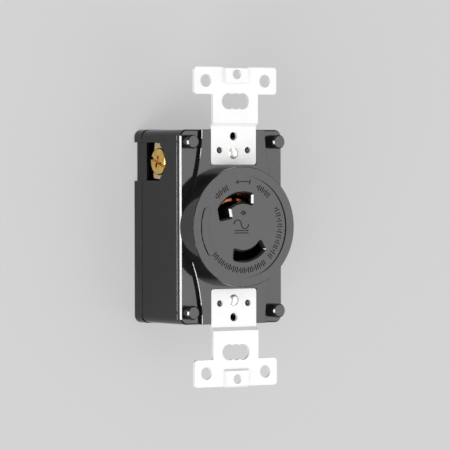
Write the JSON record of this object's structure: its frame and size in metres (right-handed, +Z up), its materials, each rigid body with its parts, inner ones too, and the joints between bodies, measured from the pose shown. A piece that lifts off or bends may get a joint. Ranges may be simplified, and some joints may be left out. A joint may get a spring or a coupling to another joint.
{
  "type": "flush locking receptacle",
  "caption": "Flush locking receptacle with a round slotted nose, a black moulded body, two wall-box ears and side screw terminals.",
  "frame": {"origin": "middle of the two box-screw slots, on the back face of the ears, which rests on the wall box", "axes": "+Z up along the ears, +Y into the wall, +X to the right seen from the front; the nose looks along -Y"},
  "size_m": [0.0406, 0.0371, 0.1068],
  "materials": {
    "black_moulding": "glossy moulded",
    "carrier_moulding": "matt moulded",
    "ear_paint": "white satin paint",
    "plated_steel": "zinc plated",
    "brass": "bright brass",
    "contact_copper": "copper alloy strip"
  },
  "bodies": {
    "housing": {"front_cover": "black_moulding", "rear_body": "black_moulding", "rear_plate": "black_moulding", "contact_carrier": "carrier_moulding", "cover_screws": "plated_steel", "threaded_inserts": "brass", "rear_plate_screws": "plated_steel", "upper_ear": "ear_paint", "lower_ear": "ear_paint", "upper_ear_rivet": "plated_steel", "lower_ear_rivet": "plated_steel", "upper_contact": "contact_copper", "lower_contact": "contact_copper", "upper_contact_spring": "plated_steel", "lower_contact_spring": "plated_steel", "upper_contact_rivets": "brass", "lower_contact_rivets": "brass", "left_terminal_plate": "brass", "right_terminal_plate": "brass"},
    "left_clamp": {"left_clamp_plate": "brass"},
    "right_clamp": {"right_clamp_plate": "brass"},
    "left_screw": {"left_terminal_screw": "brass"},
    "right_screw": {"right_terminal_screw": "brass"}
  },
  "joints": [
    {"name": "left_clamp_slide", "type": "slide", "parent": "housing", "child": "left_clamp", "axis": [1, 0, 0], "range_m": [0, 0.003]},
    {"name": "left_screw_turn", "type": "hinge", "parent": "left_clamp", "child": "left_screw", "pos_m": [-0.0174, 0.0164, 0.02175], "axis": [1, 0, 0], "range_deg": [0, 1350.2]},
    {"name": "right_clamp_slide", "type": "slide", "parent": "housing", "child": "right_clamp", "axis": [-1, 0, 0], "range_m": [0, 0.003]},
    {"name": "right_screw_turn", "type": "hinge", "parent": "right_clamp", "child": "right_screw", "pos_m": [0.0174, 0.0164, -0.02175], "axis": [-1, 0, 0], "range_deg": [0, 1350.2]}
  ],
  "couplings": [
    {"joint": "left_screw_turn", "follows": "left_clamp_slide", "rad_per_m": 7854},
    {"joint": "right_screw_turn", "follows": "right_clamp_slide", "rad_per_m": 7854}
  ]
}
